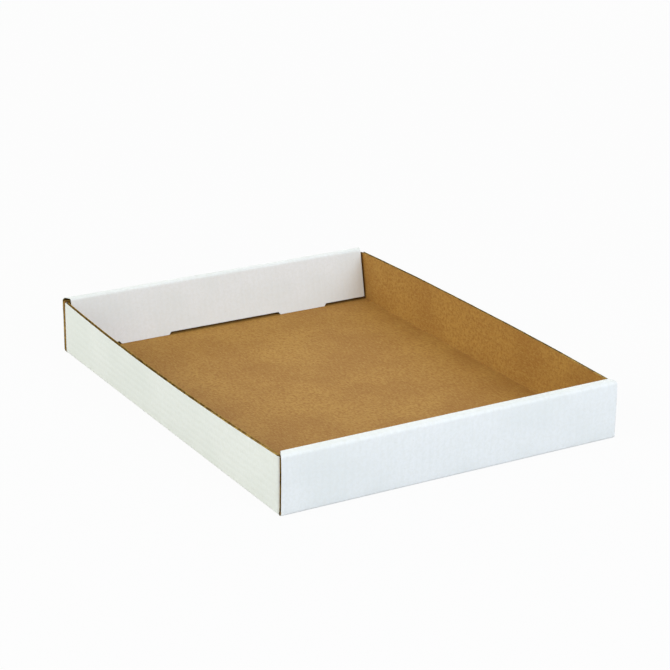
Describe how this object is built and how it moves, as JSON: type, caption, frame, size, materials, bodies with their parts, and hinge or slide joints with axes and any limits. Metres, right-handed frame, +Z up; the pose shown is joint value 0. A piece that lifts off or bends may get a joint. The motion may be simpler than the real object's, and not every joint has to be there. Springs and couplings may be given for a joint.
{
  "type": "corrugated cardboard tray",
  "caption": "Shallow open tray of white-faced corrugated board, with bowed side walls, rolled-over end walls and tabs that lock into the floor.",
  "frame": {"origin": "under the middle of the tray, at the centre of its outline on the surface that it stands on", "axes": "+X across the tray from side wall to side wall, +Y along it towards the end wall whose roll has sprung open, +Z up"},
  "size_m": [0.3288, 0.42, 0.0522],
  "materials": {
    "board": "white-faced kraft corrugated board, matt, brown on its inner face and at its cut edges"
  },
  "bodies": {
    "root": {"tray": "board"}
  },
  "joints": []
}
